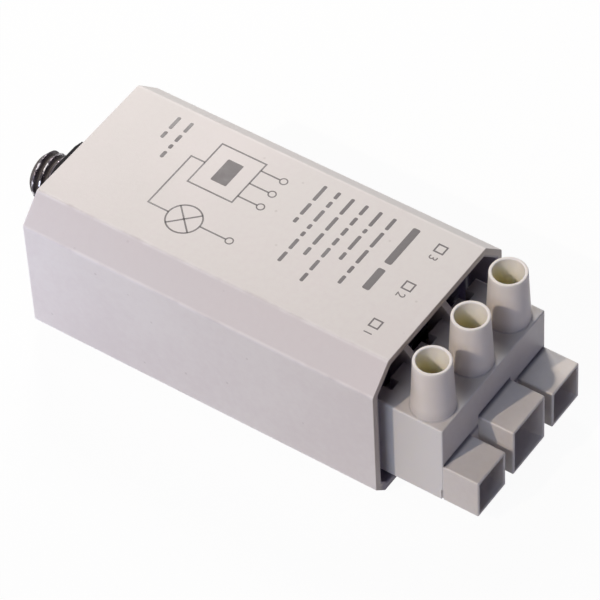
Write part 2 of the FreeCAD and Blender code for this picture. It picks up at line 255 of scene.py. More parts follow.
def addFloor():
    # seen directly the floor is nearly white, and its shadow stays faintly in it
    half, z = floor["size"] / 2, floor["lowest"] * mm
    mesh = bpy.data.meshes.new("floor")
    corners = [(-half, -half, z), (half, -half, z), (half, half, z), (-half, half, z)]
    mesh.from_pydata(corners, [], [(0, 1, 2, 3)])
    material = bpy.data.materials.new("paleFloor")
    tree = emptyTree(material)
    glow = addNode(tree, "Emission", Color=white)
    seen = mixShaders(tree, floor["shadowShare"], glow, addNode(tree, "BsdfDiffuse", Color=floor["seen"]))
    mix = mixShaders(tree, seenRays(tree), addNode(tree, "BsdfDiffuse", Color=floor["bounce"]), seen)
    addNode(tree, "OutputMaterial", Surface=mix.outputs[0])
    mesh.materials.append(material)
    addObject("floor", mesh)


addCamera()
addWorld()
addLamps()
addFloor()
bpy.context.scene.view_settings.view_transform = "Standard"
print("camera, lamps and floor ready")


# shader groups
def newGroup(name, inputs, outputs):
    # inputs are named defaults: four numbers are a colour, three a vector, one a value
    group = bpy.data.node_groups.new(name, "ShaderNodeTree")
    for label, value in inputs.items():
        kind = {4: "Color", 3: "Vector"}[len(value)] if isinstance(value, tuple) else "Float"
        socket = group.interface.new_socket(label, in_out="INPUT", socket_type="NodeSocket" + kind)
        socket.default_value = value
    for label, kind in outputs.items():
        group.interface.new_socket(label, in_out="OUTPUT", socket_type="NodeSocket" + kind)
    source, target = group.nodes.new("NodeGroupInput"), group.nodes.new("NodeGroupOutput")
    return group, [Field(source.outputs[label]) for label in inputs], target


def makeDriftGroup():
    # broad and fine uneven colour: two tones mixed by two noises
    group, (place, toneA, toneB, broad, fine), out = newGroup(
        "colourDrift", {"Vector": (0, 0, 0), "Tone A": (1, 1, 1, 1), "Tone B": (1, 1, 1, 1),
                        "Broad Scale": 60.0, "Fine Scale": 900.0}, {"Color": "Color", "Mask": "Float"})
    mask = ramp(noise(place, broad, 3.0) * 0.7 + noise(place, fine) * 0.3, 0.32, 0.68)
    fill(out, Color=blend(mask, toneA, toneB), Mask=mask)
    return group


def makeGrainGroup():
    # spark-eroded mould grain as a height, two sizes of noise added up
    group, (place, scale), out = newGroup(
        "mouldGrain", {"Vector": (0, 0, 0), "Scale": 4000.0}, {"Height": "Float"})
    fill(out, Height=noise(place, scale, 3.0, 0.6) + noise(place, scale * 0.23) * 0.8)
    return group


def makeSpeckGroup():
    # rare small specks of dirt: the cores of a few Voronoi cells, picked by the cells' random red
    group, (place, scale, rarity), out = newGroup(
        "dirtSpecks", {"Vector": (0, 0, 0), "Scale": 520.0, "Rarity": 0.88}, {"Mask": "Float"})
    cells = addNode(group, "TexVoronoi", Vector=place, Scale=scale)
    core = ramp(0.16 - Field(cells.outputs["Distance"]), 0.0, 0.10)
    red = addNode(group, "SeparateColor", Color=cells.outputs["Color"]).outputs[0]
    fill(out, Mask=core * mathNode("GREATER_THAN", Field(red), rarity))
    return group


def makeBrushGroup():
    # drawn or turned metal: noise stretched along one axis, as a mask and a height
    group, (place, stretch, scale), out = newGroup(
        "brushedLines", {"Vector": (0, 0, 0), "Stretch": (1, 1, 1), "Scale": 3000.0},
        {"Mask": "Float", "Height": "Float"})
    scaled = addNode(group, "VectorMath")
    scaled.operation = "MULTIPLY"
    setInput(scaled.inputs[0], place)
    setInput(scaled.inputs[1], stretch)
    lines = noise(Field(scaled.outputs[0]), scale, 3.0, 0.6)
    fill(out, Mask=ramp(lines * 0.5 + noise(place, 350.0, 3.0) * 0.5, 0.3, 0.7), Height=lines)
    return group


def makeWireGroup():
    # turns of wire side by side: a sine along the axis, as a height and a mask of the gaps
    group, (along, pitch), out = newGroup(
        "wireTurns", {"Along": 0.0, "Pitch": 0.0003}, {"Height": "Float", "Gap": "Float"})
    height = mathNode("SQRT", abs(mathNode("SINE", along / pitch * (2 * math.pi))))
    fill(out, Height=height, Gap=1.0 - ramp(height, 0.0, 0.45))
    return group


groups = {
    "drift": makeDriftGroup(), "grain": makeGrainGroup(), "specks": makeSpeckGroup(),
    "brush": makeBrushGroup(), "wire": makeWireGroup(),
}
print("shader groups ready")


def placeGroup(tree, name, **values):
    node = addNode(tree, "Group")
    node.node_tree = groups[name]
    return [Field(socket) for socket in fill(node, **values).outputs]


def startMaterial(name):
    # an empty material with its Principled shader, output and Object coordinates
    material = bpy.data.materials.new(name)
    tree = emptyTree(material)
    shader = addNode(tree, "BsdfPrincipled")
    addNode(tree, "OutputMaterial", Surface=shader.outputs[0])
    return material, shader, Field(addNode(tree, "TexCoord").outputs["Object"])


def dress(shader, colour, mask, rough, height, depth, **plain):
    # colour, roughness between two values by a mask, relief in mm by a height, and plain values
    gloss = addNode(colour.tree, "MapRange", Value=mask, To_Min=rough[0], To_Max=rough[1])
    relief = addNode(colour.tree, "Bump", Height=height, Distance=depth * mm, Strength=1.0)
    fill(shader, Base_Color=colour, Roughness=gloss.outputs["Result"], Normal=relief.outputs[0], **plain)


# sizes of the two mouldings, shared by their materials and their shapes
casingHigh = boxOf("casing")[1]
casing = {
    "length": casingHigh[0], "half": casingHigh[1], "top": casingHigh[2], "upper": 4.2, "lower": 2.2,
    "wall": 1.4, "rearWall": 2.4, "round": 0.45, "lip": 0.14, "innerLip": 0.34, "innerRound": 0.5,
    "studHole": 3.6, "collar": 1.6,
}


def casingCorners():
    y, z, up, lo = casing["half"], casing["top"], casing["upper"], casing["lower"]
    return [(-y + lo, -z), (y - lo, -z), (y, -z + lo), (y, z - up), (y - up, z), (-y + up, z),
            (-y, z - up), (-y, -z + lo)]


blockLow, blockHigh = boxOf("terminal_block")
block = {
    "rear": 60.0, "front": 72.0, "half": blockHigh[1], "low": blockLow[2], "top": 4.8, "corner": 0.25,
    "edge": 0.22, "footRear": 56.0, "footTop": -1.0, "footHalf": blockHigh[1] - 0.6,
    "ribs": (-5.0, 5.0), "ribThick": 1.2, "ribRoot": 62.9, "ribTop": 11.8,
    "notchHalf": 0.95, "notchDeep": 1.6, "grooveWide": 0.35, "grooveTall": 2.2, "grooveDeep": 0.3,
    "cavityRear": 65.2, "cavityFront": 71.0, "cavityHalf": 3.0, "cavityLow": -9.6, "cavityTop": 0.6,
}
tower = {
    "base": 3.35, "tip": 2.92, "top": blockHigh[2], "rim": 0.18, "foot": 0.12, "bore": 2.4, "boreLip": 0.16,
    "recess": 2.65, "recessTop": 5.0, "seat": 2.2, "shankHole": 1.87,
}
funnels = {
    "rear": 71.5, "throat": 70.8, "front": blockHigh[0], "flare": 3.4, "lip": 0.5, "roof": 0.8,
    "corners": (0.15, 0.15, 0.28, 0.28), "passageCorners": (0.12, 0.22), "edge": 0.25, "innerEdge": 0.2,
    "outerWide": 7.3, "outerTall": 7.4, "middleWide": 8.6, "middleTall": 9.3,
    "seamTall": 0.34, "seamDeep": 0.45,
}

# materials: a pair of numbers is where a mask starts and ends, in mm
casingLook = {
    "tones": ((0.735, 0.690, 0.680), (0.785, 0.755, 0.735)), "rough": (0.46, 0.56),
    "grainScale": 5200.0, "grainDepth": 0.01,
    "dirtTint": ((0.36, 0.32, 0.30), 0.28), "dirtRarity": 0.90,
    "edgeHighlightTint": ((0.90, 0.87, 0.86), 0.65), "edgeWide": (0.1, 0.55),
    "highlightScale": 260.0, "highlightPatches": (0.25, 0.6),
    "chamferShadeTint": ((0.63, 0.578, 0.594), 0.5), "chamferShade": (-0.45, -0.10),
    "lipShadeTint": ((0.36, 0.295, 0.235), 0.66), "lip": (-0.16, -0.02),
    "mouthShadeTint": ((0.110, 0.085, 0.155), 0.82), "inside": (-1.35, -0.8),
    "rearFade": (-1.44, -0.24), "underZ": (-11.8, -10.8), "underY": (-16.5, -15.0),
}
blockLook = {
    "tones": ((0.650, 0.605, 0.575), (0.700, 0.665, 0.635)), "rough": (0.38, 0.48),
    "grainScale": 5200.0, "grainDepth": 0.006,
    "dirtTint": ((0.25, 0.22, 0.20), 0.30), "dirtRarity": 0.965,
    "towerLightTint": ((0.82, 0.765, 0.715), 0.8), "towerFoot": (-2.2, -0.2),
    "rimGlowTint": ((0.88, 0.84, 0.80), 0.6), "rim": (0.1, 0.9),
    "boreGlowTone": (0.97, 0.93, 0.93), "boreDepthGlowTone": (0.95, 0.905, 0.83), "boreBounce": (0.68, 0.62, 0.33),
    "boreRadius": (2.4, 2.7), "boreDeep": (0.5, 4.6), "boreFloor": (-1.2, -0.2),
    "creaseShadeTint": ((0.17, 0.155, 0.20), 0.85), "creaseShadeWide": 0.85,
    "footShadeTint": ((0.17, 0.155, 0.20), 0.3), "footShadeWide": 0.3,
    "mouthShadeTint": ((0.12, 0.095, 0.135), 0.66), "mouthShade": (60.5, 64.8),
    "ribShare": 0.6, "ribRise": (0.6, 2.6),
    "sideLightTint": ((0.76, 0.745, 0.735), 0.85), "side": (-0.5, -0.1), "sideFront": (-0.1, 0.1),
    "spread": {"Subsurface_Weight": 0.12, "Subsurface_Radius": (1.0, 0.8, 0.4), "Subsurface_Scale": 0.0012},
}
studLook = {
    "tones": ((0.045, 0.038, 0.042), (0.120, 0.105, 0.125)), "rough": (0.20, 0.62), "relief": 0.12,
    "grimeTone": (0.075, 0.062, 0.058), "groove": (3.4, 3.9), "metal": 0.85, "grooveMetal": 0.8,
    "wornGlintTone": (0.60, 0.58, 0.60), "crest": (3.82, 3.98), "glintSpots": (0.57, 0.62), "patches": (0.40, 0.62),
}


def tint(colour, mask, tone, share):
    # turned towards a tone, by a share of the mask
    return blend(mask * share, colour, tone)


def between(value, pair, start=0.0):
    # 0 below the first of a pair of millimetres after start, 1 above the second
    return ramp(value, (start + pair[0]) * mm, (start + pair[1]) * mm)


def plastic(name, look):
    # two tones that drift, specks of dirt, and mould grain
    material, shader, place = startMaterial(name)
    tree, (toneA, toneB) = place.tree, look["tones"]
    colour, mask = placeGroup(tree, "drift", Vector=place, Tone_A=toneA, Tone_B=toneB)
    dirt = placeGroup(tree, "specks", Vector=place, Rarity=look["dirtRarity"])[0]
    grain = placeGroup(tree, "grain", Vector=place, Scale=look["grainScale"])[0]
    colour = tint(colour, dirt, *look["dirtTint"])
    dress(shader, colour, mask, look["rough"], grain, look["grainDepth"], IOR=1.5)
    return material, shader, place, colour


def edgeMask(y, z):
    # 1 on a long edge and 0 away from it, by the distance in the section plane from the nearest
    # edge, with both halves folded together
    aside = abs(y)
    gaps = [span(aside - cy * mm, z - cz * mm) for cy, cz in casingCorners() if cy > 0]
    return 1.0 - between(least(*gaps), casingLook["edgeWide"])


def wallDepth(y, z):
    # how far a point lies outside (positive) or inside (negative) the casing's outline, as the
    # greatest of its distances from the five planes of the half that is folded over y = 0
    far = [c for c in casingCorners() if c[0] > 0]
    half = [(0.0, far[0][1])] + far + [(0.0, far[-1][1])]
    planes = []
    for (y0, z0), (y1, z1) in zip(half[:-1], half[1:]):
        run = math.hypot(y1 - y0, z1 - z0)
        ny, nz = (z1 - z0) / run, (y0 - y1) / run
        planes.append(abs(y) * ny + z * nz - (ny * y0 + nz * z0) * mm)
    return greatest(*planes)


def casingPlastic():
    look = casingLook
    material, shader, place, colour = plastic("casingPlastic", look)
    x, y, z = coordinates(place)
    # painted shade: the upper near chamfer is painted a little darker than the lamps leave it; z - y is
    # constant on it
    chamferShade = between(z - y, look["chamferShade"], casing["half"] + casing["top"] - casing["upper"])
    colour = tint(colour, chamferShade, *look["chamferShadeTint"])
    # painted highlight: the long edges are painted paler, in patches along them
    uneven = ramp(noise(place, look["highlightScale"], 3.0), *look["highlightPatches"])
    colour = tint(colour, edgeMask(y, z) * uneven, *look["edgeHighlightTint"])
    # painted shade: the front face of the mouth's lip is painted darker and browner
    lip = between(x, look["lip"], casing["length"])
    colour = tint(colour, lip, *look["lipShadeTint"])
    # painted shade: the casing's inner surfaces are painted dark, and so is the lower lip under the block
    inside = 1.0 - between(wallDepth(y, z), look["inside"])
    inside = inside * between(x, look["rearFade"], casing["rearWall"])
    under = (1.0 - between(z, look["underZ"])) * between(y, look["underY"])
    fill(shader, Base_Color=tint(colour, greatest(inside, under * lip), *look["mouthShadeTint"]))
    return material


def towerMasks(x, y, z):
    # distance from the nearest tower's axis and depth below its rim give five masks: the wall of
    # the bore, one that grows with depth, the rim, the tower itself, and the line round its foot
    look, pitch = blockLook, (poleYs[2] - poleYs[1]) * mm
    away = span(x - screwX * mm, mathNode("WRAP", y, pitch / 2, -pitch / 2))
    below = tower["top"] * mm - z
    height = tower["top"] - block["top"]
    bore = (1.0 - between(away, look["boreRadius"])) * between(z, look["boreFloor"], tower["seat"])
    deep = between(below, look["boreDeep"])
    rim = 1.0 - between(below, look["rim"])
    wall = 1.0 - between(below, look["towerFoot"], height)
    line = greatest(abs(away - (tower["base"] + 0.05) * mm), abs(below - height * mm))
    return bore, deep, rim, wall, 1.0 - between(line, (0.0, look["footShadeWide"]))


def creaseMask(x, y, z):
    # painted shade where the front face meets the funnels' roofs: 1 in the crease, 0 at
    # creaseShadeWide from its line, whose level steps up over the middle funnel
    outer, middle = (block["low"] + funnels[k] for k in ("outerTall", "middleTall"))
    nearMiddle = mathNode("LESS_THAN", abs(y), (funnels["middleWide"] / 2 + 0.05) * mm)
    roof = nearMiddle * ((middle - outer) * mm) + outer * mm
    away = greatest(abs(x - block["front"] * mm), abs(z - roof))
    return 1.0 - between(away, (0.0, blockLook["creaseShadeWide"]))


def blockPlastic():
    look = blockLook
    material, shader, place, colour = plastic("blockPlastic", look)
    x, y, z = coordinates(place)
    bore, deep, rim, wall, foot = towerMasks(x, y, z)
    # painted light: the towers are painted paler than the block, standing in for the light through their
    # walls and their sheen
    colour = tint(colour, wall, *look["towerLightTint"])
    # painted shade: a dark line round each tower's foot
    colour = tint(colour, foot, *look["footShadeTint"])
    # painted light: the rims are painted paler, for light glowing through the thin walls
    colour = tint(colour, rim, *look["rimGlowTint"])
    # light that bounces about in a bore turns yellow, so bounced rays meet a deeper tone there
    bounced = Field(addNode(place.tree, "LightPath").outputs["Is Diffuse Ray"])
    # painted light: seen directly, the bore walls are painted paler than the moulding and yellower with
    # depth, for light through the thin walls and bounced about
    hollow = blend(deep, look["boreGlowTone"], look["boreDepthGlowTone"])
    colour = blend(bore, colour, blend(bounced, hollow, look["boreBounce"]))
    # painted shade: what stands in the mouth is painted darker, the high parts less, and not the outer sides
    side = between(abs(y), look["side"], block["half"])
    high = between(z, look["ribRise"], block["top"])
    mouthShade = (1.0 - between(x, look["mouthShade"])) * (1.0 - high * look["ribShare"]) * (1.0 - side)
    colour = tint(colour, mouthShade, *look["mouthShadeTint"])
    # painted light: the block's outer sides are painted paler, up to the front face
    pale = side * (1.0 - between(x, look["sideFront"], block["front"]))
    colour = tint(colour, pale, *look["sideLightTint"])
    # painted shade in the crease above the funnels' roofs
    colour = tint(colour, (1.0 - side) * creaseMask(x, y, z), *look["creaseShadeTint"])
    fill(shader, Base_Color=colour, **look["spread"])
    return material


def studSteel():
    # the distance from the axis tells the grimy thread grooves from the crest, rubbed to bright steel in
    # spots that also serve as painted glints
    look = studLook
    material, shader, place = startMaterial("studSteel")
    radius = span(*coordinates(place)[1:])
    groove = 1.0 - between(radius, look["groove"])
    mask, brush = placeGroup(place.tree, "brush", Vector=place, Stretch=(1, 1, 1), Scale=900.0)
    # worn bright steel in spots on the crests, which also stand as painted glints
    wornGlints = between(radius, look["crest"]) * ramp(noise(place, 820.0, 1.0), *look["glintSpots"])
    steel = blend(wornGlints, blend(mask, *look["tones"]), look["wornGlintTone"])
    patches = ramp(noise(place, 520.0), *look["patches"])
    dress(shader, blend(groove, steel, look["grimeTone"]), greatest(groove, patches), look["rough"],
          brush + noise(place, 420.0, 3.0, 0.6), look["relief"],
          Metallic=look["metal"] - groove * look["grooveMetal"])
    return material


def windingCopper():
    material, shader, place = startMaterial("windingCopper")
    height, gap = placeGroup(place.tree, "wire", Along=coordinates(place)[0], Pitch=0.0006)
    # painted shade: the gaps between the turns are painted dark
    copper = blend(gap, (0.62, 0.25, 0.10), (0.10, 0.03, 0.015))
    dress(shader, copper, gap, (0.25, 0.55), height, 0.15, Metallic=0.85, Coat_Weight=0.6)
    return material


def metal(name, toneA, toneB, rough, scale, depth, stretch=(1, 1, 1), **plain):
    material, shader, place = startMaterial(name)
    mask, lines = placeGroup(place.tree, "brush", Vector=place, Stretch=stretch, Scale=scale)
    dress(shader, blend(mask, toneA, toneB), mask, rough, lines, depth, **plain)
    return material


def dull(name, toneA, toneB, rough, scale, depth, coat=0.0):
    material, shader, place = startMaterial(name)
    colour, mask = placeGroup(place.tree, "drift", Vector=place, Tone_A=toneA, Tone_B=toneB,
                              Broad_Scale=scale * 0.1, Fine_Scale=scale)
    grain = placeGroup(place.tree, "grain", Vector=place, Scale=scale)[0]
    dress(shader, colour, mask, rough, grain, depth, Coat_Weight=coat)
    return material


dullFinishes = {  # material, two tones, roughness, scale and depth of the grain, coat
    "compound": ("castResin", (0.062, 0.044, 0.098), (0.092, 0.068, 0.140), (0.24, 0.42), 500.0, 0.03, 0.3),
    "board_laminate": ("boardLaminate", (0.32, 0.22, 0.09), (0.40, 0.30, 0.14), (0.45, 0.6), 1800.0, 0.01),
    "ferrite": ("ferrite", (0.035, 0.035, 0.04), (0.06, 0.06, 0.066), (0.5, 0.7), 1500.0, 0.02),
    "bobbin_plastic": ("bobbinPlastic", (0.03, 0.03, 0.03), (0.055, 0.055, 0.055), (0.4, 0.5), 1200.0, 0.01),
    "film_capacitor": ("filmCapacitor", (0.50, 0.36, 0.04), (0.58, 0.45, 0.07), (0.12, 0.25), 700.0, 0.005,
                       0.5),
    "resistor_body": ("resistorBody", (0.26, 0.29, 0.27), (0.34, 0.36, 0.33), (0.55, 0.75), 2500.0, 0.02),
    "diode_body": ("diodeBody", (0.018, 0.018, 0.018), (0.035, 0.035, 0.035), (0.35, 0.5), 1500.0, 0.01),
    "printInk": ("printInk", (0.085, 0.075, 0.080), (0.14, 0.125, 0.13), (0.4, 0.55), 1500.0, 0.003),
}
looks = {
    "casing_plastic": casingPlastic(), "block_plastic": blockPlastic(), "stud_steel": studSteel(),
    "winding_copper": windingCopper(),
    # black oxide on steel is as dull as a paint
    "fastener_steel": metal("fastenerSteel", (0.006, 0.006, 0.007), (0.016, 0.015, 0.018), (0.45, 0.62),
                            1500.0, 0.01, IOR=1.2, Specular_IOR_Level=0.3),
    "contact_brass": metal("tinnedBrass", (0.55, 0.52, 0.46), (0.70, 0.67, 0.62), (0.22, 0.38),
                           2500.0, 0.006, (0.05, 1, 1), Metallic=1.0),
    "clamp_steel": metal("zincSteel", (0.50, 0.51, 0.53), (0.68, 0.69, 0.71), (0.25, 0.42),
                         900.0, 0.008, Metallic=1.0),
}
looks.update({slotName: dull(*values) for slotName, values in dullFinishes.items()})
print("materials ready:", len(looks))


# surface tools
def mitres(into, away):
    # at each corner, from the edges into it and away from it: their directions, the left side of
    # the first, and the shift that moves both edges to their left by 1
    into = into / np.linalg.norm(into, axis=1)[:, None]
    away = away / np.linalg.norm(away, axis=1)[:, None]
    leftA, leftB = (np.stack([-way[:, 1], way[:, 0]], 1) for way in (into, away))
    return into, away, leftA, (leftA + leftB) / (1 + (leftA * leftB).sum(1))[:, None]


def outline(corners, radius, inset=0.0, steps=4):
    # a closed outline through corners (counter-clockwise): each edge moved inwards by inset,
    # each corner an arc of its radius less the inset, tangent to both edges
    c = np.array(corners, float)
    into, away, left, mitre = mitres(c - np.roll(c, 1, 0), np.roll(c, -1, 0) - c)
    turn = np.arctan2(into[:, 0] * away[:, 1] - into[:, 1] * away[:, 0], (into * away).sum(1))
    side = np.sign(turn)
    r = np.maximum(np.broadcast_to(radius, len(c)) - inset * side, 0.01) * side
    centre = c + mitre * (inset + r)[:, None]
    start = np.arctan2(-left[:, 1] * side, -left[:, 0] * side)
    angle = start[:, None] + turn[:, None] * np.linspace(0, 1, steps + 1)[None, :]
    arc = np.stack([np.cos(angle), np.sin(angle)], 2) * np.abs(r)[:, None, None]
    return (centre[:, None, :] + arc).reshape(-1, 2)


def circle(count):
    t = np.arange(count) * 2 * math.pi / count
    return np.stack([np.cos(t), np.sin(t)], -1)


def onPlane(flat, axis, height):
    # a flat outline (or a stack of them) set across an axis at the given height:
    # x takes (y, z), y takes (x, z), z takes (x, y)
    height = np.broadcast_to(height, flat.shape[:-1])
    order = {"x": (height, flat[..., 0], flat[..., 1]), "y": (flat[..., 0], height, flat[..., 1]),
             "z": (flat[..., 0], flat[..., 1], height)}
    return np.stack(order[axis], -1)


def shellData(rings, closeRows=False, closeColumns=True):
    # vertices and faces of a tube of rings, whose faces are one index array; the tube closes on
    # itself or by a flat face at each end, and its columns wrap unless the last repeats the first
    rings = np.asarray(rings, float)
    rows, columns = rings.shape[:2]
    around = columns if closeColumns else columns - 1
    r = np.arange(rows if closeRows else rows - 1)[:, None]
    c = np.arange(around)[None, :]
    above, beside = (r + 1) % rows, (c + 1) % columns
    cells = [r * columns + c, r * columns + beside, above * columns + beside, above * columns + c]
    faces = np.stack(cells, -1).reshape(-1, 4).tolist()
    if not closeRows:
        last = (rows - 1) * columns
        faces += [list(range(around - 1, -1, -1)), list(range(last, last + around))]
    return rings.reshape(-1, 3), faces


def joinData(parts):
    # several vertex and face sets as one
    vertices, faces, count = [], [], 0
    for points, cells in parts:
        vertices.append(points)
        faces += [[i + count for i in cell] for cell in cells]
        count += len(points)
    return np.concatenate(vertices), faces


def weld(mesh, gap, finish):
    # merges the vertices closer than gap, then runs one more clean-up
    work = bmesh.new()
    work.from_mesh(mesh)
    bmesh.ops.remove_doubles(work, verts=work.verts, dist=gap)
    finish(work)
    work.to_mesh(mesh)
    work.free()
    return mesh


def makeMesh(name, data):
    mesh = bpy.data.meshes.new(name)
    mesh.from_pydata((data[0] * mm).tolist(), [], data[1])
    return weld(mesh, 1e-7, lambda work: bmesh.ops.recalc_face_normals(work, faces=work.faces))


def evaluated(item):
    # the mesh that an object's modifiers leave
    return bpy.data.meshes.new_from_object(item.evaluated_get(bpy.context.evaluated_depsgraph_get()))


sharpAngle = 35.0


def makePiece(name, data, body, slotName, *replaced, look=None):
    # a piece from mesh data or a ready mesh, with its body, its slot and the CAD nodes it replaces
    mesh = data if isinstance(data, bpy.types.Mesh) else makeMesh(name, data)
    mesh.name = name
    mesh.shade_smooth()
    mesh.set_sharp_from_angle(angle=math.radians(sharpAngle))
    mesh.materials.clear()
    mesh.materials.append(looks[look or slotName])
    piece = addObject(name, mesh)
    piece.modifiers.new("faceNormals", "WEIGHTED_NORMAL").keep_sharp = True
    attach(piece, body)
    if replaced:
        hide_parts(*replaced)


def cutAway(name, solid, tools):
    # solid minus tools, each of which may be several overlapping closed shells
    made = [addObject(name, makeMesh(name, data)) for data in (solid, tools)]
    cut = made[0].modifiers.new("cut", "BOOLEAN")
    cut.operation, cut.solver, cut.use_self, cut.object = "DIFFERENCE", "EXACT", True, made[1]
    mesh = evaluated(made[0])
    for shape in made:
        old = shape.data
        bpy.data.objects.remove(shape)
        bpy.data.meshes.remove(old)
    return weld(mesh, 2e-7, lambda work: bmesh.ops.dissolve_degenerate(work, edges=work.edges, dist=2e-7))


def quarter(start, rise, end, count):
    # pairs on a quarter turn: from (start, end - rise) to (start - rise, end)
    t = np.linspace(0, math.pi / 2, count)
    return list(zip(start - rise * (1 - np.cos(t)), end - rise * (1 - np.sin(t))))


def roundedEnds(start, end, low, high, steps=4):
    # positions and insets of the rings of a bar whose two end edges are rounded by low and high
    a = np.linspace(0, math.pi / 2, steps + 1)
    places = np.concatenate([start + low * (1 - np.sin(a[::-1])), end - high * (1 - np.sin(a))])
    insets = np.concatenate([low * (1 - np.cos(a[::-1])), high * (1 - np.cos(a))])
    return list(zip(places, insets))


def bar(corners, radius, axis, start, end, low=0.15, high=0.15):
    # an outline drawn along an axis, with rounded end edges and flat ends
    ends = roundedEnds(start, end, low, high)
    return shellData([onPlane(outline(corners, radius, inset), axis, place) for place, inset in ends])


def rectangle(a0, a1, b0, b1):
    return [(a0, b0), (a1, b0), (a1, b1), (a0, b1)]


def turned(profile, y, sides=64):
    # a profile of (radius, height) pairs turned round the upright axis at screwX and y
    return shellData([onPlane(np.array((screwX, y)) + circle(sides) * r, "z", h) for r, h in profile])


# casing
def casingSection(inset, radius):
    return outline(casingCorners(), radius, inset, 6)


def buildCasing():
    # rings go round the rear hole, out over the rear face, along the outside, over the lip
    # of the mouth, back along the inside and over the inner rear face
    length, wall, soft, lip, deep = (casing[k] for k in ("length", "wall", "round", "lip", "innerLip"))
    outside, inner = casingSection(0, soft), wall + casing["innerRound"]
    angle = np.arctan2(outside[:, 1], outside[:, 0])
    hole = np.stack([np.cos(angle), np.sin(angle)], 1) * casing["studHole"]
    collar = hole * casing["collar"]
    turn = [(1 - math.cos(a), 1 - math.sin(a)) for a in np.linspace(0, math.pi / 2, 6)]
    rows = [(hole, 0.0), (collar, 0.0)]
    rows += [(casingSection(soft * s, soft), soft * c) for c, s in turn]
    rows += [(outside, x) for x in np.linspace(soft, length - lip, 8)[1:]]
    rows += [(casingSection(lip * c, soft), length - lip * s) for c, s in turn[1:]]
    rows += [(casingSection(wall - deep * s, inner), length - deep * c) for c, s in turn]
    rows += [(casingSection(wall, inner), x) for x in np.linspace(length - deep, casing["rearWall"], 7)[1:]]
    rows += [(collar, casing["rearWall"]), (hole, casing["rearWall"])]
    rings = [onPlane(flat, "x", x) for flat, x in rows]
    makePiece("casingShell", shellData(rings, True), "root", "casing_plastic", "casing")


buildCasing()
print("casing ready")


# terminal block
past = 0.5  # how far a cutter, or a part joined to another, reaches past its face


def funnelSize(y):
    if y == 0.0:
        return funnels["middleWide"], funnels["middleTall"]
    return funnels["outerWide"], funnels["outerTall"]


def towerProfile():
    # a fillet at the foot, a straight taper and a rounded rim
    base, foot = tower["base"], tower["foot"]
    fillet = quarter(base, -foot, block["top"], 6)[::-1]
    return [(base + foot, block["top"] - 0.4)] + fillet + quarter(tower["tip"], tower["rim"], tower["top"], 6)


def boreProfile():
    # shank hole, head recess, driver bore, and a rounded way in at the rim
    hole, recess, bore, lip = (tower[k] for k in ("shankHole", "recess", "bore", "boreLip"))
    steps = [(hole, block["cavityTop"] - 0.1), (hole, tower["seat"]), (recess, tower["seat"]),
             (recess, tower["recessTop"]), (bore, tower["recessTop"])]
    way = [(2 * bore - r, h) for r, h in quarter(bore, lip, tower["top"], 5)]
    return steps + way + [(bore + lip, tower["top"] + past)]


def funnelShell(y):
    wide, tall = funnelSize(y)
    corners = rectangle(y - wide / 2, y + wide / 2, block["low"], block["low"] + tall)
    return bar(corners, funnels["corners"], "x", funnels["rear"], funnels["front"], 0.05, funnels["edge"])


def funnelPassage(y):
    # rectangles from the throat out through the flare, the last ones opening round the lip
    wide, tall = funnelSize(y)
    low, lip, front, edge = block["low"], funnels["lip"], funnels["front"], funnels["innerEdge"]
    half, tight, loose = block["cavityHalf"], *funnels["passageCorners"]
    throat = np.array(rectangle(y - half, y + half, block["cavityLow"], low + tall - funnels["roof"]))
    mouth = np.array(rectangle(y - wide / 2 + lip, y + wide / 2 - lip, low + lip, low + tall - lip))
    grow = np.array(rectangle(-1, 1, -1, 1), float)
    rows = [(funnels["throat"], throat, tight), (front - funnels["flare"], throat, tight)]
    for a in np.linspace(0, math.pi / 2, 5):
        rows.append((front - edge * (1 - math.sin(a)), mouth + grow * edge * (1 - math.cos(a)), loose))
    rows.append((front + past, mouth + grow * edge, loose))
    return shellData([onPlane(outline(corners, r), "x", x) for x, corners, r in rows])


def ribShell(y):
    rear, root, top, low = block["footRear"], block["ribRoot"], block["ribTop"], block["footTop"] - past
    # (x, z) runs clockwise seen along y, so the outline is turned round
    slope, half = top - block["top"], block["ribThick"] / 2
    corners = [(rear, low), (root, low), (root, block["top"]), (root - slope, top), (rear, top)]
    return bar(corners, [0.05, 0.05, 0.4, 0.4, 0.05], "y", y - half, y + half, 0.12, 0.12)


def seamTool(y):
    # the narrow gap between a funnel's roof and the front face above it
    wide, tall = funnelSize(y)
    half, level = wide / 2 - 0.1, block["low"] + tall
    corners = rectangle(block["front"] - funnels["seamDeep"], block["front"] + 0.3, y - half, y + half)
    return bar(corners, 0.1, "z", level - 0.06, level + funnels["seamTall"], 0.02, 0.1)


